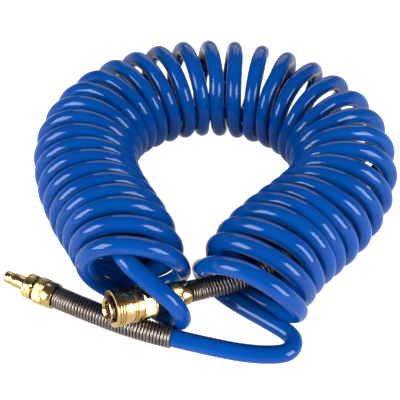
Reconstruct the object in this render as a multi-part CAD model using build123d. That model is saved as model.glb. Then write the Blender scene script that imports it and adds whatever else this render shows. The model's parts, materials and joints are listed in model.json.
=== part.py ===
from build123d import *
from math import cos, pi, radians, sin, tan
import os

# A coiled air hose with a quick coupler on one end and a plug nipple on the other.
# The object lies on the plane Z = 0, as a horseshoe that is open towards -Y.
# All sizes are in millimetres.

os.makedirs("parts", exist_ok=True)

# ---- hose ----
HOSE_OD = 12.0
HOSE_BORE = 8.0
HOSE_R = HOSE_OD / 2
COIL_RADIUS = 33.5                     # middle of the hose to the coil's centre line
COIL_OUTER = COIL_RADIUS + HOSE_R
COIL_INNER = COIL_RADIUS - HOSE_R - 0.5
COIL_HEIGHT = COIL_OUTER               # the coil lies on the ground
COIL_OVERRUN = 22.0                    # extra length at each end, which the end cuts take off

# centre line of the coil, from the coupler's end round to the plug's end
COIL_ROUTE = [
    (-45.0, -103.5), (-54.0, -73.5), (-82.5, -22.0), (-93.0, 27.0),
    (-73.0, 74.5), (-22.0, 104.0), (30.5, 104.0), (77.5, 79.0),
    (106.5, 27.0), (96.0, -31.5), (31.5, -91.0), (26.5, -119.5),
]
# the planes of the two last turns: a point at coil height, heading outwards, forward lean
FIRST_TURN_PLANE = ((-46.0, -94.5), -92.0, 20.0)
LAST_TURN_PLANE = ((30.0, -109.0), -122.5, 20.0)

# hose from the plug's nut, along the ground, round a tight bend and into the last turn
PLUG_TAIL_LEAD = 22.5                  # straight run along the plug's axis behind its nut
PLUG_TAIL_ROUTE = [
    (-45.0, -121.2, 8.5), (6.0, -135.4, 7.1), (30.0, -138.2, 6.0),
    (48.8, -137.5, 6.0), (56.3, -128.6, 6.0), (54.5, -117.8, 6.0), (39.0, -108.5, 6.0),
    (25.0, -90.5, 6.0),
]
# hose from the coupler's nut, through the inside of the coil, over the coupler, round a
# bend in front of it and under it into the first turn
COUPLER_TAIL_LEAD = 10.5
COUPLER_TAIL_ROUTE = [
    (18.0, -90.8, 21.0), (34.0, -85.2, 21.5), (50.0, -72.5, 21.5),
    (66.5, -53.5, 22.0), (89.0, -24.0, 22.0), (98.5, 26.0, 22.0), (73.0, 71.5, 22.0),
    (28.5, 96.0, 22.0), (-19.5, 96.5, 22.0), (-67.0, 69.0, 22.0), (-85.3, 27.5, 22.0),
    (-75.5, -19.5, 24.0), (-62.0, -62.0, 36.0), (-62.0, -88.0, 54.0), (-52.0, -105.5, 57.5),
    (-34.5, -114.3, 46.8), (-20.5, -120.3, 36.8), (-14.2, -121.8, 26.5), (-12.6, -120.0, 15.5),
    (-16.5, -115.8, 7.2), (-28.0, -110.3, 6.0), (-38.0, -102.5, 6.0), (-45.0, -86.0, 6.0),
    (-50.0, -75.0, 6.0),
]

# ---- kink springs ----
SPRING_BORE = 12.6
SPRING_OD = 15.5
SPRING_LENGTH = 86.0

# ---- plug nipple, stations are measured back from its tip ----
PLUG_TIP = (-138.8, -75.8, 9.5)
PLUG_HEADING = -26.6
TIP_R = 4.25
COLLAR_R = 4.85
COLLAR_START = 7.3
COLLAR_END = 15.7
PLUG_HEX_FLATS = 17.0
PLUG_HEX_START = 18.4
PLUG_HEX_END = 25.5
PLUG_NUT_START = 27.0
PLUG_NUT_END = 41.5
PLUG_NUT_R = 9.3
PLUG_BORE_R = 2.6

# ---- clamping end, alike on the plug and the coupler ----
THREAD_R = 7.2
THREAD_LENGTH = 5.5
BARB_R = 3.95
BARB_LENGTH = 8.0
NUT_THREAD_R = THREAD_R + 0.05
NUT_HOSE_R = HOSE_R + 0.1
NUT_BAND = 6.5

# ---- coupler, stations are measured back from its mouth ----
COUPLER_MOUTH = (-63.1, -123.8, 33.0)
COUPLER_REAR = (-12.2, -98.9, 20.5)    # where the hose leaves the nut
MOUTH_R = 6.0
MOUTH_START = 1.3
MOUTH_END = 4.8
SOCKET_R = 4.9
FRONT_R = 7.7
RING_STATION = 1.2
RING_WIDTH = 1.0
RING_R = 8.85
BALL_STATION = 7.0
BALL_R = 1.85
BALL_COUNT = 6
BALL_PITCH_R = FRONT_R - BALL_R        # locked: the ball is level with the body's outside
BALL_HOLE_R = BALL_R + 0.05
PLUG_SEAL_STATION = 11.5
PLUG_SEAL_R = 1.0
SEAT_START = 14.5
SEAT_END = 16.0
SEAT_R = 3.6
CHAMBER_R = 6.5
SHOULDER = 16.5
GUIDE_R = 10.5
HEX_START = 22.5
HEX_END = 29.5
COUPLER_HEX_FLATS = 22.0
COUPLER_HEX_R = 12.3
COUPLER_NUT_START = 43.5
COUPLER_NUT_END = 58.0
COUPLER_NUT_R = 8.5
SPIGOT_START = 24.0
WEB_START = 27.0
WEB_END = 29.5
STEM_R = 1.95

# ---- sleeve ----
SLEEVE_START = 3.0
SLEEVE_END = 19.0
SLEEVE_R = 11.9
SLEEVE_LAND_R = FRONT_R + 0.08
SLEEVE_TRAVEL = 3.2
BALL_TRAVEL = 0.95
RAMP_START = 7.2
LAND_END = 10.2
SKIRT_R = GUIDE_R + 0.15

# ---- valve ----
POPPET_NOSE = 10.8
POPPET_NOSE_R = 3.3
POPPET_HEAD_START = 16.4
POPPET_HEAD_END = 18.6
POPPET_HEAD_R = 5.6
POPPET_END = 29.0
VALVE_SEAL_FRONT = 16.05
VALVE_SEAL_BACK = 17.05

coupler_axis = (Vector(*COUPLER_REAR) - Vector(*COUPLER_MOUTH)).normalized()
coupler_side = coupler_axis.cross(Vector(0, 0, 1)).normalized()
coupler_place = Plane(origin=COUPLER_MOUTH, x_dir=coupler_side, z_dir=coupler_axis).location

plug_axis = Vector(cos(radians(PLUG_HEADING)), sin(radians(PLUG_HEADING)), 0)
plug_side = plug_axis.cross(Vector(0, 0, 1))
plug_place = Plane(origin=PLUG_TIP, x_dir=plug_side, z_dir=plug_axis).location


def export(solid, name):
    export_step(solid, f"parts/{name}.step")


def turned(*outline):
    """Solid of revolution about Z. The outline's points are (radius, station)."""
    face = Plane.XZ * make_face(Polyline(*outline, close=True))
    return revolve(face, Axis.Z)


def tube(outer, bore, start, end):
    """Straight round tube along Z."""
    return turned((bore, start), (outer, start), (outer, end), (bore, end))


def ring_seal(station, middle, thickness):
    """O-ring about Z: middle is the radius to the middle of its section."""
    return Pos(0, 0, station) * Torus(middle, thickness)


def hexagon(flats, corner_r, start, end, chamfer):
    """Hexagon about Z, with its corners turned off towards both ends."""
    prism = Pos(0, 0, start) * extrude(RegularPolygon(flats / 2, 6, major_radius=False), end - start)
    envelope = turned(
        (0, start), (corner_r - chamfer, start), (corner_r, start + chamfer),
        (corner_r, end - chamfer), (corner_r - chamfer, end), (0, end),
    )
    return prism & envelope


def bend_radii(points):
    """Arc at each inner point of a route, as large as its two runs allow."""
    radii = []
    for before, here, after in zip(points, points[1:], points[2:]):
        run_in = here - before
        run_out = after - here
        half_turn = radians(run_in.get_angle(run_out)) / 2
        radii.append(0.45 * min(run_in.length, run_out.length) / tan(half_turn))
    return radii


def route_path(name, points):
    """Straight runs joined by tangent arcs."""
    points = [Vector(*p) for p in points]
    radii = bend_radii(points)
    print(name, "bend radii", [round(r, 1) for r in radii])
    return Wire(FilletPolyline(*points, radius=radii).edges())


def bar(path, radius):
    """Round bar along a path."""
    start = Plane(origin=path @ 0, z_dir=path % 0)
    return sweep(start * Circle(radius), path=path)


def swept(path, outer, bore):
    """Round tube along a path."""
    return bar(path, outer) - bar(path, bore)


def turn_plane(place, heading, lean):
    """Plane of one of the coil's last turns, with its normal pointing out of the coil."""
    flat = cos(radians(lean))
    outwards = Vector(
        flat * cos(radians(heading)), flat * sin(radians(heading)), -sin(radians(lean))
    )
    return Plane(origin=(*place, COIL_HEIGHT), z_dir=outwards)


def clamp_rear(start, bore):
    """Threaded nose and hose stem behind station start, as outline points up to the bore."""
    thread_end = start + THREAD_LENGTH
    stem_end = thread_end + BARB_LENGTH
    return [
        (THREAD_R, start), (THREAD_R, thread_end), (BARB_R, thread_end),
        (BARB_R, stem_end - 1.0), (BARB_R - 0.5, stem_end), (bore, stem_end),
    ]


# ---- hose ----
def run_on(end, neighbour):
    """Point COIL_OVERRUN past an end of the coil's route, in line with its end run."""
    return end + (end - neighbour).normalized() * COIL_OVERRUN


def make_hose_coil():
    """Tube of the coil's outside and inside, cut at both ends along its last turns."""
    corners = [Vector(x, y, COIL_HEIGHT) for x, y in COIL_ROUTE]
    corners[0] = run_on(corners[0], corners[1])
    corners[-1] = run_on(corners[-1], corners[-2])
    path = route_path("hose_coil", corners)
    first_half = bar(path.trim(0.0, 0.51), COIL_OUTER)
    second_half = bar(path.trim(0.5, 1.0), COIL_OUTER)
    first_half = split(first_half, bisect_by=turn_plane(*FIRST_TURN_PLANE), keep=Keep.BOTTOM)
    second_half = split(second_half, bisect_by=turn_plane(*LAST_TURN_PLANE), keep=Keep.BOTTOM)
    return first_half + second_half - bar(path, COIL_INNER)


def make_tail(name, nut_rear, axis, nut_length, lead, route):
    """Hose from its end inside a nut, straight to the nut's rear face, then along a route."""
    hidden = nut_length - THREAD_LENGTH
    straight = Line(nut_rear - axis * hidden, nut_rear)
    free = route_path(name, [nut_rear, nut_rear + axis * lead, *route])
    path = Wire([*straight.edges(), *free.edges()])
    hose = swept(path, HOSE_R, HOSE_BORE / 2)
    area = pi * (HOSE_R ** 2 - (HOSE_BORE / 2) ** 2)
    print(name, "length", round(path.length, 1), "volume / section", round(hose.volume / area, 1))
    return hose, free


def make_kink_spring(path):
    """Sleeve over the first stretch of a hose tail."""
    stretch = path.trim(0.0, SPRING_LENGTH / path.length)
    return swept(stretch, SPRING_OD / 2, SPRING_BORE / 2)


def make_spring_way(path):
    """Way through the coil's wall for a kink spring, where it passes under the last turn."""
    return bar(path.trim(0.0, 1.1 * SPRING_LENGTH / path.length), SPRING_OD / 2 + 0.4)


# ---- plug nipple ----
def make_plug_body():
    rear = clamp_rear(PLUG_NUT_START, PLUG_BORE_R)
    turned_part = turned(
        (PLUG_BORE_R + 0.8, 0), (TIP_R - 0.6, 0), (TIP_R, 0.7), (TIP_R, 5.0),
        (3.7, 5.5), (3.7, 6.3), (COLLAR_R, COLLAR_START), (COLLAR_R, COLLAR_END),
        (7.4, PLUG_HEX_START), (7.4, PLUG_HEX_END), (7.0, PLUG_HEX_END), (7.0, PLUG_NUT_START),
        *rear, (PLUG_BORE_R, 2.0),
    )
    flats = hexagon(PLUG_HEX_FLATS, 9.4, PLUG_HEX_START, PLUG_HEX_END, 1.0)
    bore = Pos(0, 0, PLUG_HEX_START) * extrude(Circle(5.0), PLUG_HEX_END - PLUG_HEX_START)
    return turned_part + (flats - bore)


def make_hose_nut(outer, start, end):
    """Clamping nut: thread in front, hose bore behind, plain band at the rear."""
    thread_end = start + THREAD_LENGTH + 0.1
    band_start = end - NUT_BAND
    return turned(
        (NUT_THREAD_R, start), (outer - 0.5, start), (outer, start + 0.5),
        (outer, band_start - 0.6), (outer - 0.5, band_start - 0.6), (outer - 0.5, band_start),
        (outer - 0.2, band_start), (outer - 0.2, end - 0.8), (outer - 0.9, end),
        (NUT_HOSE_R, end), (NUT_HOSE_R, thread_end), (NUT_THREAD_R, thread_end),
    )


# ---- coupler ----
def make_coupler_body():
    turned_part = turned(
        (MOUTH_R + 1.3, 0), (FRONT_R, 0.3), (FRONT_R, RING_STATION),
        (FRONT_R - 0.7, RING_STATION), (FRONT_R - 0.7, RING_STATION + RING_WIDTH),
        (FRONT_R, RING_STATION + RING_WIDTH), (FRONT_R, SHOULDER),
        (GUIDE_R, SHOULDER), (GUIDE_R, HEX_END), (CHAMBER_R, HEX_END),
        (CHAMBER_R, SEAT_END), (SEAT_R, SEAT_END), (SEAT_R, SEAT_START),
        (SOCKET_R, SEAT_START), (SOCKET_R, PLUG_SEAL_STATION + 1.1),
        (SOCKET_R + 1.4, PLUG_SEAL_STATION + 1.1), (SOCKET_R + 1.4, PLUG_SEAL_STATION - 1.1),
        (SOCKET_R, PLUG_SEAL_STATION - 1.1), (SOCKET_R, MOUTH_END + 0.2),
        (MOUTH_R, MOUTH_END), (MOUTH_R, MOUTH_START),
    )
    flats = hexagon(COUPLER_HEX_FLATS, COUPLER_HEX_R, HEX_START, HEX_END, 0.8)
    core = Pos(0, 0, HEX_START) * extrude(Circle(GUIDE_R - 1), HEX_END - HEX_START)
    body = turned_part + (flats - core)
    for turn in range(BALL_COUNT):
        hole = Pos(0, 0, BALL_STATION) * Rot(0, 0, turn * 360 / BALL_COUNT) * Rot(0, 90, 0)
        drill = Pos(0, 0, 3.0) * extrude(Circle(BALL_HOLE_R), 7.0)
        body -= hole * drill
    return body


def make_retaining_ring():
    gap = Pos(FRONT_R, 0, RING_STATION) * Box(6, 3, 6)
    ring = tube(RING_R, FRONT_R - 0.65, RING_STATION + 0.05, RING_STATION + RING_WIDTH - 0.05)
    return ring - gap


def make_sleeve():
    ramp = BALL_TRAVEL / SLEEVE_TRAVEL
    front_r = SLEEVE_LAND_R + ramp * (RAMP_START - SLEEVE_START)
    return turned(
        (front_r, SLEEVE_START), (11.6, SLEEVE_START), (12.1, 3.5), (12.1, 4.5),
        (11.3, 5.0), (SLEEVE_R, 5.6), (SLEEVE_R, 6.2), (11.3, 6.8), (SLEEVE_R, 7.4),
        (SLEEVE_R, 8.0), (11.4, 8.5), (11.7, 9.2), (SLEEVE_R, 12.2), (11.7, 15.2),
        (11.4, 15.6), (SLEEVE_R, 16.1), (SLEEVE_R, 16.7), (11.4, 17.1),
        (12.0, 17.6), (12.0, 18.6), (11.7, SLEEVE_END), (SKIRT_R, SLEEVE_END),
        (SKIRT_R, LAND_END), (SLEEVE_LAND_R, LAND_END), (SLEEVE_LAND_R, RAMP_START),
    )


def make_sleeve_spring():
    return tube(9.9, 8.5, LAND_END + 0.05, SHOULDER - 0.05)


def make_ball(turn):
    around = Rot(0, 0, turn * 360 / BALL_COUNT)
    return around * Pos(BALL_PITCH_R, 0, BALL_STATION) * Sphere(BALL_R)


def make_valve_poppet():
    poppet = turned(
        (0, POPPET_NOSE), (POPPET_NOSE_R - 0.5, POPPET_NOSE), (POPPET_NOSE_R, POPPET_NOSE + 0.5),
        (POPPET_NOSE_R, POPPET_HEAD_START), (3.8, POPPET_HEAD_START), (3.8, VALVE_SEAL_BACK),
        (POPPET_HEAD_R, VALVE_SEAL_BACK), (POPPET_HEAD_R, POPPET_HEAD_END),
        (STEM_R, POPPET_HEAD_END), (STEM_R, POPPET_END), (0, POPPET_END),
    )
    window = Pos(0, 0, 14.0) * Box(8, 1.8, 3.2)
    return poppet - window - Rot(0, 0, 90) * window


def make_valve_seal():
    return tube(5.5, 3.85, VALVE_SEAL_FRONT, VALVE_SEAL_BACK)


def make_valve_spring():
    return tube(4.75, 3.85, POPPET_HEAD_END + 0.05, WEB_START - 0.05)


def make_coupler_rear_body():
    rear = clamp_rear(COUPLER_NUT_START, 2.8)
    groove_start = WEB_START + 0.5
    groove_end = WEB_END - 0.5
    body = turned(
        (4.85, SPIGOT_START), (CHAMBER_R - 0.05, SPIGOT_START), (CHAMBER_R - 0.05, groove_start),
        (5.1, groove_start), (5.1, groove_end), (CHAMBER_R - 0.05, groove_end),
        (CHAMBER_R - 0.05, HEX_END), (11.5, HEX_END), (11.7, 30.0), (11.7, 30.8),
        (9.0, 39.0), (8.2, 40.2), (8.2, COUPLER_NUT_START), *rear,
        (2.8, 34.0), (4.0, 32.5), (4.0, WEB_END), (STEM_R + 0.1, WEB_END),
        (STEM_R + 0.1, WEB_START), (4.85, WEB_START),
    )
    for turn in range(4):
        hole = Rot(0, 0, 45 + turn * 90) * Pos(3.05, 0, WEB_START - 1)
        body -= hole * extrude(Circle(0.75), WEB_END - WEB_START + 2)
    return body


# ---- build ----
plug_nut_rear = Vector(*PLUG_TIP) + plug_axis * PLUG_NUT_END
coupler_nut_rear = Vector(*COUPLER_MOUTH) + coupler_axis * COUPLER_NUT_END

plug_tail, plug_path = make_tail(
    "hose_plug_tail", plug_nut_rear, plug_axis, PLUG_NUT_END - PLUG_NUT_START,
    PLUG_TAIL_LEAD, PLUG_TAIL_ROUTE
)
coupler_tail, coupler_path = make_tail(
    "hose_coupler_tail", coupler_nut_rear, coupler_axis, COUPLER_NUT_END - COUPLER_NUT_START,
    COUPLER_TAIL_LEAD, COUPLER_TAIL_ROUTE
)

coil = make_hose_coil() - make_spring_way(coupler_path)
export(coil, "hose_coil")
export(plug_tail, "hose_plug_tail")
export(coupler_tail, "hose_coupler_tail")
export(make_kink_spring(plug_path), "plug_kink_spring")
export(make_kink_spring(coupler_path), "coupler_kink_spring")

export(plug_place * make_plug_body(), "plug_body")
export(plug_place * make_hose_nut(PLUG_NUT_R, PLUG_NUT_START, PLUG_NUT_END), "plug_hose_nut")

coupler_nut = make_hose_nut(COUPLER_NUT_R, COUPLER_NUT_START, COUPLER_NUT_END)
body_seal_station = (WEB_START + WEB_END) / 2
coupler_parts = {
    "coupler_body": make_coupler_body(),
    "sleeve_retaining_ring": make_retaining_ring(),
    "locking_sleeve": make_sleeve(),
    "sleeve_spring": make_sleeve_spring(),
    "plug_seal": ring_seal(PLUG_SEAL_STATION, 5.25, PLUG_SEAL_R),
    "valve_poppet": make_valve_poppet(),
    "valve_seal": make_valve_seal(),
    "valve_spring": make_valve_spring(),
    "coupler_rear_body": make_coupler_rear_body(),
    "coupler_body_seal": ring_seal(body_seal_station, 5.78, 0.66),
    "coupler_hose_nut": coupler_nut,
}
for name, solid in coupler_parts.items():
    export(coupler_place * solid, name)
for turn in range(BALL_COUNT):
    export(coupler_place * make_ball(turn), f"locking_ball_{turn + 1}")
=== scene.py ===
"""A coiled air hose: the wound hose as one spline, wire kink springs and polished brass fittings."""
import bpy
import json
from math import atan2, cos, pi, radians, sin
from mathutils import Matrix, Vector


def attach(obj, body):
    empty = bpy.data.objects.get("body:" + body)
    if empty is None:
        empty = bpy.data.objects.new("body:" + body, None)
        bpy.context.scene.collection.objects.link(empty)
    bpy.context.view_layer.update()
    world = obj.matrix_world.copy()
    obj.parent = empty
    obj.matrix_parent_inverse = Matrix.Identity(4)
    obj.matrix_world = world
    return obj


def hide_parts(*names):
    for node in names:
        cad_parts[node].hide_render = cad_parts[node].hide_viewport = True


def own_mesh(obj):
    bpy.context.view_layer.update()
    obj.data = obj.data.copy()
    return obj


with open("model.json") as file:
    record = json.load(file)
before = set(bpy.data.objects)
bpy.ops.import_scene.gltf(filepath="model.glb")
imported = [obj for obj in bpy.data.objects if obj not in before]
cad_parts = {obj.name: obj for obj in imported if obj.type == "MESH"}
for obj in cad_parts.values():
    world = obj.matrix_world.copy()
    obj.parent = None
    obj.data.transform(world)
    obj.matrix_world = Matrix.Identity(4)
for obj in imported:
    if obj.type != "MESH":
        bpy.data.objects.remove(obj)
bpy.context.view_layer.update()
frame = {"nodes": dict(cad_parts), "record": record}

MM = 0.001

# ---- hose, in metres ----
HOSE_D = 0.012
COIL_R = 0.0335                        # middle of the hose to the coil's centre line
TURNS = 36
FIRST_TURN = 0.5                       # a whole number of turns is the top of a turn
POINTS_PER_TURN = 16
# a spline of order 3 cuts inside its points, by this much on a circle
POINT_R = COIL_R / (0.75 + 0.25 * cos(2 * pi / POINTS_PER_TURN))

# centre line of the coil, from the coupler's end round to the plug's end
COIL_ROUTE = [
    (-0.045, -0.1035), (-0.054, -0.0735), (-0.0825, -0.022), (-0.093, 0.027),
    (-0.073, 0.0745), (-0.022, 0.104), (0.0305, 0.104), (0.0775, 0.079),
    (0.1065, 0.027), (0.096, -0.0315), (0.0315, -0.091), (0.0265, -0.1195),
]
# how the turns lie: (turn, value), straight lines between
# relative distance from one turn to the next
SPACING = [(0.5, 1.07), (4, 0.8), (8, 0.92), (13, 1.04), (18, 1.15), (23, 1.25), (28, 1.0),
           (32, 0.72), (36.5, 1.03)]
# in degrees: how far a turn leans ahead, and how far it is turned about the vertical
LEAN = [(0.5, -16), (3, -4), (8, -7), (18, 0), (28, 8), (33, 7), (36.5, 23)]
YAW = [(0.5, 29), (3, 21), (8, 16), (13, 0), (18, -3), (28, -7), (33, -8), (36.5, 19)]

# hose from the coupler's nut through the coil, over the coupler and under it to the first turn
COUPLER_TAIL = [
    (0.018, -0.0908, 0.021), (0.034, -0.0852, 0.0215), (0.050, -0.0725, 0.0215),
    (0.0665, -0.0535, 0.022), (0.089, -0.024, 0.022), (0.0985, 0.026, 0.022),
    (0.073, 0.0715, 0.022), (0.0285, 0.096, 0.022), (-0.0195, 0.0965, 0.022),
    (-0.067, 0.069, 0.022), (-0.0853, 0.0275, 0.022), (-0.0755, -0.0195, 0.024),
    (-0.062, -0.062, 0.036), (-0.0585, -0.088, 0.054), (-0.0505, -0.1048, 0.0572),
    (-0.0345, -0.1143, 0.0468), (-0.0215, -0.1203, 0.0372), (-0.0166, -0.1204, 0.0265),
    (-0.0152, -0.1184, 0.0155), (-0.0186, -0.114, 0.007), (-0.027, -0.1086, 0.006),
    (-0.036, -0.1015, 0.006),
]
# the first turn passes behind the coupler's nut, and the last but one passes behind its kink
# spring and under it: {place among the turns' points: point}
MOVED_POINTS = {
    12: (-0.016, -0.0895, 0.033), 13: (-0.016, -0.083, 0.0215),
    14: (-0.0215, -0.081, 0.011), 15: (-0.033, -0.0825, 0.0062),
    557: (0.0075, -0.0765, 0.0255), 558: (0.0135, -0.0765, 0.0125),
    559: (0.0235, -0.0835, 0.0065), 560: (0.0355, -0.0945, 0.006),
}
# the last turn passes behind the coupler's kink spring and under it, and runs out on the ground
LAST_PLAIN_TURN = 36.0625
UNDER_SPRING = [
    (0.0036, -0.1086, 0.0592), (-0.0016, -0.101, 0.047), (-0.0028, -0.0905, 0.0355),
    (-0.0038, -0.081, 0.024), (-0.0026, -0.0766, 0.013), (0.0022, -0.0790, 0.0062),
    (0.009, -0.0858, 0.006), (0.016, -0.0926, 0.006), (0.027, -0.1012, 0.006),
    (0.0405, -0.1108, 0.006),
]
# hose from the last turn to the plug's nut
PLUG_TAIL = [
    (0.0565, -0.1229, 0.006), (0.0571, -0.132, 0.006), (0.0509, -0.1387, 0.006),
    (0.030, -0.1387, 0.006), (0.006, -0.1344, 0.0071), (-0.045, -0.1208, 0.0085),
]

# ---- fittings: stations in millimetres from the coupler's mouth and from the plug's tip ----
COUPLER_MOUTH = Vector((-0.0631, -0.1238, 0.033))
COUPLER_AXIS = (Vector((-0.0122, -0.0989, 0.0205)) - COUPLER_MOUTH).normalized()
COUPLER_NUT = (43.5, 58.0)
COUPLER_NUT_R = 8.5
COUPLER_LEAD = 0.0105                  # straight run of hose behind the nut
PLUG_TIP = Vector((-0.1388, -0.0758, 0.0095))
PLUG_AXIS = Vector((cos(radians(-26.6)), sin(radians(-26.6)), 0))
PLUG_NUT = (27.0, 41.5)
PLUG_NUT_R = 9.3
PLUG_LEAD = 0.0225
NUT_THREAD = 5.5                       # the hose ends this far behind the nut's front

# ---- kink springs, in metres ----
SPRING_START = 0.009                   # from the hose's end in the nut to the nut's rear face
SPRING_LENGTH = 0.086
WIRE_R = 0.0009
SPRING_PITCH = 0.00225
CLOSE_PITCH = 2.04 * WIRE_R
CLOSE_UNTIL = 0.13                     # shares of the length that are close-wound
CLOSE_FROM = 0.98
POINTS_PER_WIND = 10

# ---- camera ----
CAMERA_TARGET = Vector((-0.004, -0.031, 0.040))
CAMERA_RISE = radians(44)
CAMERA_DISTANCE = 0.556
CAMERA_LENS = 70.4

# ---- stage: how strongly its surfaces glow, and where the lights look ----
FLOOR_GLOW = 0.4
WALL_GLOW = 0.7
CEILING_GLOW = 0.12
CEILING_FROM = 0.3                     # height of a direction from which all is ceiling
LIGHT_TARGET = Vector((0, -0.03, 0.03))


# ---- general helpers ----
def table(rows, at):
    """Value at a place in a list of (place, value) rows, on a straight line between two rows."""
    for (a, x), (b, y) in zip(rows, rows[1:]):
        if at <= b:
            return x + (y - x) * (at - a) / (b - a)
    return rows[-1][1]


def spline_object(name, points, bevel, order=3, resolution=6):
    """Curve object of one open NURBS spline, with a round section of radius bevel."""
    data = bpy.data.curves.new(name, "CURVE")
    data.dimensions = "3D"
    spline = data.splines.new("NURBS")
    spline.points.add(len(points) - 1)
    for point, place in zip(spline.points, points):
        point.co = (*place, 1)
    spline.order_u = order
    spline.use_endpoint_u = True
    spline.resolution_u = resolution
    data.bevel_depth = bevel
    data.bevel_resolution = 8
    data.use_fill_caps = True
    data.twist_mode = "MINIMUM"
    obj = bpy.data.objects.new(name, data)
    bpy.context.collection.objects.link(obj)
    return obj


def read_line(points):
    """Places along the spline of these points, in order."""
    line = spline_object("line", points, 0)
    mesh = bpy.data.meshes.new_from_object(line)
    places = [v.co.copy() for v in mesh.vertices]
    bpy.data.objects.remove(line)
    bpy.data.meshes.remove(mesh)
    return places


def runs(places):
    """Distance along a line of places, one number for each place."""
    along = [0.0]
    for a, b in zip(places, places[1:]):
        along.append(along[-1] + (b - a).length)
    return along


def place_on(places, along, at):
    """Place and heading at a distance along a line."""
    i = 1
    while i < len(along) - 1 and along[i] < at:
        i += 1
    step = places[i] - places[i - 1]
    share = (at - along[i - 1]) / max(along[i] - along[i - 1], 1e-9)
    return places[i - 1] + step * share, step.normalized()


def across(axis):
    """Two directions square to an axis and to each other."""
    side = axis.cross(Vector((0, 0, 1))).normalized()
    return side, axis.cross(side)


def turned(name, outline, origin, axis, steps=96, radius_at=None):
    """Solid of revolution: outline of (radius, station) in millimetres, closed on itself.

    radius_at(radius, station, angle) may change a point's radius, for knurling or flats."""
    side, other = across(axis)
    places = []
    faces = []
    count = len(outline)
    for k in range(steps):
        angle = 2 * pi * k / steps
        out = side * cos(angle) + other * sin(angle)
        for radius, station in outline:
            r = radius_at(radius, station, angle) if radius_at else radius
            places.append(origin + axis * station * MM + out * r * MM)
    for k in range(steps):
        a = k * count
        b = (k + 1) % steps * count
        for i in range(count):
            j = (i + 1) % count
            faces.append((a + i, b + i, b + j, a + j))
    mesh = bpy.data.meshes.new(name)
    mesh.from_pydata(places, [], faces)
    mesh.polygons.foreach_set("use_smooth", [True] * len(faces))
    mesh.set_sharp_from_angle(angle=radians(28))
    obj = bpy.data.objects.new(name, mesh)
    bpy.context.collection.objects.link(obj)
    return obj


# ---- materials ----
def material(name):
    """New material, with its node tree and its shader."""
    mat = bpy.data.materials.new(name)
    mat.use_nodes = True
    tree = mat.node_tree
    return mat, tree, tree.nodes["Principled BSDF"]


def node(tree, kind, **values):
    """New node, with its inputs set by name."""
    made = tree.nodes.new(kind)
    for key, value in values.items():
        made.inputs[key.replace("_", " ")].default_value = value
    return made


def ramp(tree, source, *stops):
    """Colour ramp on a factor: stops of (place, colour)."""
    made = tree.nodes.new("ShaderNodeValToRGB")
    elements = made.color_ramp.elements
    while len(elements) < len(stops):
        elements.new(0.5)
    for element, (place, colour) in zip(elements, stops):
        element.position = place
        element.color = (*colour, 1)
    tree.links.new(source, made.inputs["Fac"])
    return made.outputs["Color"]


def noise(tree, scale, detail=4.0):
    """Noise in the object's own coordinates."""
    coords = tree.nodes.new("ShaderNodeTexCoord")
    made = node(tree, "ShaderNodeTexNoise", Scale=scale, Detail=detail)
    tree.links.new(coords.outputs["Object"], made.inputs["Vector"])
    return made.outputs["Fac"]


def bump(tree, shader, height, strength, distance):
    """Small relief on a shader, from a height."""
    made = node(tree, "ShaderNodeBump", Strength=strength, Distance=distance)
    tree.links.new(height, made.inputs["Height"])
    tree.links.new(made.outputs["Normal"], shader.inputs["Normal"])


def hose_material():
    """Glossy deep blue polyurethane."""
    mat, tree, shader = material("hose_blue")
    colour = ramp(tree, noise(tree, 25), (0.3, (0.0, 0.038, 0.20)), (0.7, (0.0, 0.047, 0.24)))
    tree.links.new(colour, shader.inputs["Base Color"])
    rough = ramp(tree, noise(tree, 120), (0.3, (0.07,) * 3), (0.7, (0.11,) * 3))
    tree.links.new(rough, shader.inputs["Roughness"])
    shader.inputs["IOR"].default_value = 1.36
    shader.inputs["Specular IOR Level"].default_value = 0.35
    shader.inputs["Specular Tint"].default_value = (0.8, 0.9, 1.0, 1)
    bump(tree, shader, noise(tree, 90, 2), 0.25, 0.0003)
    return mat


def metal_material(name, light, dark, smooth, worn, scale):
    """Polished metal: two shades, two roughnesses and fine marks."""
    mat, tree, shader = material(name)
    shader.inputs["Metallic"].default_value = 1
    colour = ramp(tree, noise(tree, scale), (0.35, dark), (0.65, light))
    tree.links.new(colour, shader.inputs["Base Color"])
    rough = ramp(tree, noise(tree, scale * 4), (0.3, (smooth,) * 3), (0.75, (worn,) * 3))
    tree.links.new(rough, shader.inputs["Roughness"])
    bump(tree, shader, noise(tree, scale * 6), 0.06, 0.0001)
    return mat


def rubber_material():
    """Dull black rubber."""
    mat, tree, shader = material("seal_rubber")
    colour = ramp(tree, noise(tree, 300), (0.3, (0.012, 0.012, 0.013)), (0.7, (0.03, 0.03, 0.03)))
    tree.links.new(colour, shader.inputs["Base Color"])
    shader.inputs["Roughness"].default_value = 0.55
    bump(tree, shader, noise(tree, 900), 0.2, 0.0001)
    return mat


def seen_directly(tree):
    """Node for the strength of a glow: 1 where the camera sees it, and its To Min elsewhere."""
    path = tree.nodes.new("ShaderNodeLightPath")
    made = tree.nodes.new("ShaderNodeMapRange")
    tree.links.new(path.outputs["Is Camera Ray"], made.inputs["Value"])
    return made


def floor_material():
    """White floor that glows a little, more so where it is seen directly."""
    mat, tree, shader = material("floor")
    shader.inputs["Base Color"].default_value = (0.5, 0.5, 0.5, 1)
    shader.inputs["Roughness"].default_value = 0.9
    shader.inputs["Emission Color"].default_value = (1, 1, 1, 1)
    glow = seen_directly(tree)
    glow.inputs["To Min"].default_value = FLOOR_GLOW
    tree.links.new(glow.outputs["Result"], shader.inputs["Emission Strength"])
    return mat


def paint(obj, mat):
    """Give an object one material."""
    obj.data.materials.clear()
    obj.data.materials.append(mat)


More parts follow.
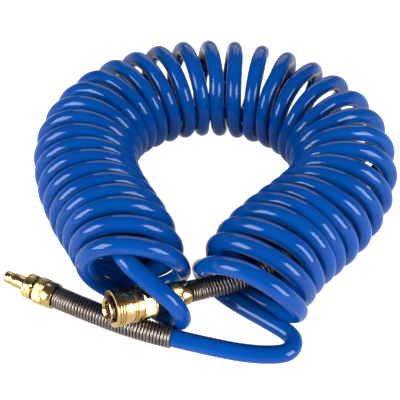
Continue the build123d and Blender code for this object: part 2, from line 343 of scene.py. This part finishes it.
# ---- camera ----
def make_camera():
    """Camera in front of the coil, looking down on it."""
    away = Vector((0, -cos(CAMERA_RISE), sin(CAMERA_RISE)))
    data = bpy.data.cameras.new("camera")
    data.lens = CAMERA_LENS
    data.sensor_width = 36
    camera = bpy.data.objects.new("camera", data)
    camera.location = CAMERA_TARGET + away * CAMERA_DISTANCE
    camera.rotation_euler = away.to_track_quat("Z", "Y").to_euler()
    bpy.context.collection.objects.link(camera)
    bpy.context.scene.camera = camera


# ---- hose ----
def coil_points():
    """Points of the turns, from the bottom of the first turn on."""
    middle = read_line([(x, y, 0) for x, y in COIL_ROUTE])
    along = runs(middle)
    count = TURNS * POINTS_PER_TURN
    spaced = [0.0]
    for k in range(count):
        spaced.append(spaced[-1] + table(SPACING, FIRST_TURN + (k + 0.5) / POINTS_PER_TURN))
    points = []
    for k in range(count + 1):
        turn = FIRST_TURN + k / POINTS_PER_TURN
        place, heading = place_on(middle, along, along[-1] * spaced[k] / spaced[-1])
        facing = atan2(heading.y, heading.x) - radians(table(YAW, turn))
        ahead = Vector((cos(facing), sin(facing), 0))
        inwards = Vector((ahead.y, -ahead.x, 0))
        lean = radians(table(LEAN, turn))
        upwards = ahead * sin(lean) + Vector((0, 0, cos(lean)))
        centre = place + Vector((0, 0, COIL_R * cos(lean) + HOSE_D / 2))
        round_angle = 2 * pi * turn
        point = centre + POINT_R * (inwards * sin(round_angle) + upwards * cos(round_angle))
        points.append(point)
    return points


def hose_points():
    """The hose's whole route, from inside the coupler's nut to inside the plug's nut."""
    nut_rear = COUPLER_MOUTH + COUPLER_AXIS * COUPLER_NUT[1] * MM
    hidden = (COUPLER_NUT[1] - COUPLER_NUT[0] - NUT_THREAD) * MM
    start = [nut_rear - COUPLER_AXIS * hidden, nut_rear, nut_rear + COUPLER_AXIS * COUPLER_LEAD]
    turns = coil_points()
    for place, point in MOVED_POINTS.items():
        turns[place] = point
    turns = turns[:int((LAST_PLAIN_TURN - FIRST_TURN) * POINTS_PER_TURN) + 1]
    plug_rear = PLUG_TIP + PLUG_AXIS * PLUG_NUT[1] * MM
    hidden = (PLUG_NUT[1] - PLUG_NUT[0] - NUT_THREAD) * MM
    end = [plug_rear + PLUG_AXIS * PLUG_LEAD, plug_rear, plug_rear - PLUG_AXIS * hidden]
    return start + COUPLER_TAIL + turns + UNDER_SPRING + PLUG_TAIL + end


def make_hose(points):
    """The hose along its route."""
    hose = spline_object("hose", points, HOSE_D / 2)
    paint(hose, hose_material())
    return hose


# ---- kink springs ----
def make_kink_spring(name, places, large, small):
    """Wire wound round the start of a line of places, close-wound at both its ends."""
    along = runs(places)
    at = SPRING_START
    angle = 0.0
    points = []
    while at < SPRING_START + SPRING_LENGTH:
        place, heading = place_on(places, along, at)
        side, other = across(heading)
        share = (at - SPRING_START) / SPRING_LENGTH
        radius = large + (small - large) * share - WIRE_R
        points.append(place + (side * cos(angle) + other * sin(angle)) * radius)
        close = share < CLOSE_UNTIL or share > CLOSE_FROM
        at += (CLOSE_PITCH if close else SPRING_PITCH) / POINTS_PER_WIND
        angle += 2 * pi / POINTS_PER_WIND
    wire = spline_object(name, points, WIRE_R, order=4, resolution=2)
    wire.data.bevel_resolution = 3
    return wire


# ---- fittings ----
def knurl(depth, count, start, end):
    """Radius rule for straight knurling between two stations."""
    def rule(radius, station, angle):
        if start <= station <= end:
            return radius - depth * (0.5 + 0.5 * cos(count * angle)) ** 2
        return radius
    return rule


def make_nut(name, outer, span, origin, axis):
    """Knurled clamping nut with a plain band at its rear."""
    start, end = span
    band = end - 6.5
    outline = [
        (7.25, start), (outer - 0.7, start), (outer - 0.15, start + 0.5), (outer, start + 0.9),
        (outer, band - 1.0), (outer - 0.15, band - 0.7), (outer - 0.6, band - 0.5),
        (outer - 0.6, band), (outer - 0.25, band + 0.25), (outer - 0.2, band + 0.6),
        (outer - 0.2, end - 1.0), (outer - 0.5, end - 0.35), (outer - 1.0, end),
        (6.1, end), (6.1, start + NUT_THREAD), (7.25, start + NUT_THREAD),
    ]
    rule = knurl(0.28, 48, start + 0.7, band - 0.9)
    return turned(name, outline, origin, axis, 384, rule)


def hexagon(flats, start, end):
    """Radius rule for spanner flats between two stations."""
    def rule(radius, station, angle):
        if start <= station <= end:
            return min(radius, flats / 2 / cos(angle % (pi / 3) - pi / 6))
        return radius
    return rule


def make_plug_body():
    """Plug nipple: tip, groove, collar, cone, hexagon and threaded neck."""
    outline = [
        (3.2, 0), (3.75, 0.1), (4.1, 0.35), (4.25, 0.8), (4.25, 5.0), (4.1, 5.2), (3.7, 5.5),
        (3.7, 6.3), (4.2, 6.7), (4.7, 7.1), (4.85, 7.4), (4.85, 15.7), (6.0, 16.9), (7.3, 18.2),
        (7.6, 18.4), (8.6, 18.6), (9.4, 19.5), (9.4, 24.4), (8.6, 25.3), (7.6, 25.5),
        (7.0, 25.6), (7.0, 27.0), (7.2, 27.1), (7.2, 32.4), (2.6, 32.4), (2.6, 2.0),
    ]
    rule = hexagon(17.0, 18.4, 25.5)
    return turned("plug", outline, PLUG_TIP, PLUG_AXIS, 192, rule)


def make_sleeve():
    """Sliding sleeve with its lip and grip ridges, rounded over."""
    outline = [
        (9.03, 3.0), (10.8, 3.0), (11.5, 3.05), (12.0, 3.3), (12.1, 3.7), (12.1, 4.2),
        (11.9, 4.6), (11.1, 4.8), (11.0, 5.0), (11.1, 5.2), (11.7, 5.35), (11.9, 5.7),
        (11.9, 6.1), (11.7, 6.45), (11.1, 6.6), (11.0, 6.8), (11.1, 7.0), (11.7, 7.15),
        (11.9, 7.5), (11.9, 7.9), (11.7, 8.25), (11.1, 8.4), (11.0, 8.6), (11.1, 8.8),
        (11.6, 9.0), (11.8, 10.4), (11.9, 12.2), (11.8, 14.0), (11.6, 15.0), (11.1, 15.2),
        (11.1, 15.6), (11.7, 15.8), (11.9, 16.1), (11.9, 16.5), (11.7, 16.8), (11.1, 16.95),
        (11.1, 17.25), (11.8, 17.4), (12.0, 17.7), (12.0, 18.4), (11.9, 18.8), (11.6, 19.0),
        (10.65, 19.0), (10.65, 10.2), (7.78, 10.2), (7.78, 7.2),
    ]
    return turned("sleeve", outline, COUPLER_MOUTH, COUPLER_AXIS, 192)


def make_coupler_rear():
    """Rear body of the coupler: flange, long cone and neck."""
    outline = [
        (6.45, 29.5), (11.2, 29.5), (11.6, 29.7), (11.7, 30.1), (11.65, 30.9), (11.3, 31.3),
        (10.6, 33.5), (9.4, 38.0), (9.0, 39.2), (8.5, 40.0), (8.2, 40.4), (8.2, 43.5),
        (7.2, 43.5), (7.2, 48.9), (2.8, 48.9), (2.8, 34.0), (4.0, 32.5), (4.0, 29.5),
    ]
    return turned("coupler_rear", outline, COUPLER_MOUTH, COUPLER_AXIS, 192)


def make_inner_spring(name, metal, radius, wire, span, turns):
    """Spring inside the coupler, wound evenly between two stations."""
    start, end = span
    side, other = across(COUPLER_AXIS)
    steps = 16
    points = []
    for k in range(turns * steps + 1):
        angle = 2 * pi * k / steps
        station = start + wire + (end - start - 2 * wire) * k / (turns * steps)
        out = side * cos(angle) + other * sin(angle)
        points.append(COUPLER_MOUTH + COUPLER_AXIS * station * MM + out * radius * MM)
    line = spline_object(name + "_line", points, wire * MM, order=4, resolution=2)
    mesh = bpy.data.meshes.new_from_object(line)
    bpy.data.objects.remove(line)
    spring = bpy.data.objects.new(name + "_wire", mesh)
    bpy.context.collection.objects.link(spring)
    paint(spring, metal)
    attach(spring, "hose_and_fittings")
    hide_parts(name)
    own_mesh(spring)


# ---- light ----
def make_softbox(name, direction, distance, size, power):
    """Rectangular light that looks at the coil from a direction."""
    data = bpy.data.lights.new(name, "AREA")
    data.shape = "RECTANGLE"
    data.size, data.size_y = size
    data.energy = power
    light = bpy.data.objects.new(name, data)
    way = Vector(direction).normalized()
    light.location = LIGHT_TARGET + way * distance
    light.rotation_euler = way.to_track_quat("Z", "Y").to_euler()
    bpy.context.collection.objects.link(light)


def make_floor():
    """Floor under the object, as part of the stage."""
    bpy.ops.mesh.primitive_plane_add(size=8, location=(0, 0, 0))
    floor = bpy.context.object
    floor.name = "floor"
    paint(floor, floor_material())


def make_world():
    """White walls round the stage under a dark ceiling."""
    world = bpy.data.worlds.new("studio")
    world.use_nodes = True
    tree = world.node_tree
    direction = tree.nodes.new("ShaderNodeTexCoord")
    height = tree.nodes.new("ShaderNodeSeparateXYZ")
    tree.links.new(direction.outputs["Generated"], height.inputs["Vector"])
    sky = node(tree, "ShaderNodeMapRange", From_Max=CEILING_FROM)
    sky.inputs["To Min"].default_value = WALL_GLOW
    sky.inputs["To Max"].default_value = CEILING_GLOW
    tree.links.new(height.outputs["Z"], sky.inputs["Value"])
    glow = seen_directly(tree)
    tree.links.new(sky.outputs["Result"], glow.inputs["To Min"])
    tree.links.new(glow.outputs["Result"], tree.nodes["Background"].inputs["Strength"])
    tree.nodes["Background"].inputs["Color"].default_value = (1, 1, 1, 1)
    bpy.context.scene.world = world
    bpy.context.scene.view_settings.view_transform = "Standard"


# ---- build ----
make_camera()
route = hose_points()
line = read_line(route)
hose = make_hose(route)

spring_steel = metal_material("spring_wire", (0.24, 0.205, 0.175), (0.17, 0.145, 0.125), 0.3, 0.4, 300)
brass = metal_material("polished_brass", (0.56, 0.39, 0.16), (0.50, 0.34, 0.13), 0.17, 0.25, 60)
bright_steel = metal_material("bright_steel", (0.7, 0.69, 0.66), (0.5, 0.49, 0.47), 0.15, 0.3, 200)
ball_steel = metal_material("ball_steel", (0.75, 0.75, 0.76), (0.65, 0.65, 0.66), 0.05, 0.1, 200)
# near-black metal for the retaining ring: painted shade for the dark gap between the coupler's mouth
# and the sleeve's lip
ring_metal_painted_shade = metal_material("painted_shade_ring", (0.09, 0.08, 0.07), (0.05, 0.045, 0.04), 0.3, 0.45, 200)
rubber = rubber_material()
FINISH = {"brass": brass, "spring_steel": bright_steel, "ball": ball_steel, "seal": rubber}
for entry in frame["record"]["subparts"]:
    slot = entry["material_slot"]
    if slot in FINISH:
        paint(frame["nodes"][entry["node"]], FINISH[slot])
# the retaining ring is painted near black, as painted shade of the gap at the mouth
paint(frame["nodes"]["sleeve_retaining_ring"], ring_metal_painted_shade)

coupler_spring = make_kink_spring("coupler_kink_spring_wire", line, 0.0079, 0.0078)
plug_spring = make_kink_spring("plug_kink_spring_wire", line[::-1], 0.0082, 0.0079)
for wire, cad_node in ((coupler_spring, "coupler_kink_spring"), (plug_spring, "plug_kink_spring")):
    paint(wire, spring_steel)
    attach(wire, "hose_and_fittings")
    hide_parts(cad_node)

plug_nut = make_nut("plug_nut", PLUG_NUT_R, PLUG_NUT, PLUG_TIP, PLUG_AXIS)
plug = make_plug_body()
coupler_nut = make_nut("coupler_nut", COUPLER_NUT_R, COUPLER_NUT, COUPLER_MOUTH, COUPLER_AXIS)
coupler_rear = make_coupler_rear()
sleeve = make_sleeve()
# piece, the body it rides on and the CAD node it replaces
BRASS_PIECES = [
    (plug, "hose_and_fittings", "plug_body"),
    (plug_nut, "hose_and_fittings", "plug_hose_nut"),
    (coupler_nut, "hose_and_fittings", "coupler_hose_nut"),
    (coupler_rear, "hose_and_fittings", "coupler_rear_body"),
    (sleeve, "sleeve", "locking_sleeve"),
]
for piece, body, cad_node in BRASS_PIECES:
    paint(piece, brass)
    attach(piece, body)
    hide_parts(cad_node)

make_inner_spring("sleeve_spring", bright_steel, 9.2, 0.5, (10.25, 16.45), 4)
make_inner_spring("valve_spring", bright_steel, 4.3, 0.35, (18.65, 26.95), 6)

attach(hose, "hose_and_fittings")
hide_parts("hose_coil", "hose_plug_tail", "hose_coupler_tail")

make_floor()
make_world()
make_softbox("left_softbox", (-0.82, -0.42, 0.35), 1.2, (0.62, 0.7), 23)
make_softbox("right_softbox", (0.72, -0.60, 0.36), 1.2, (0.62, 0.75), 25)
make_softbox("back_softbox", (0.1, 0.85, 0.5), 1.5, (1.4, 0.9), 8)
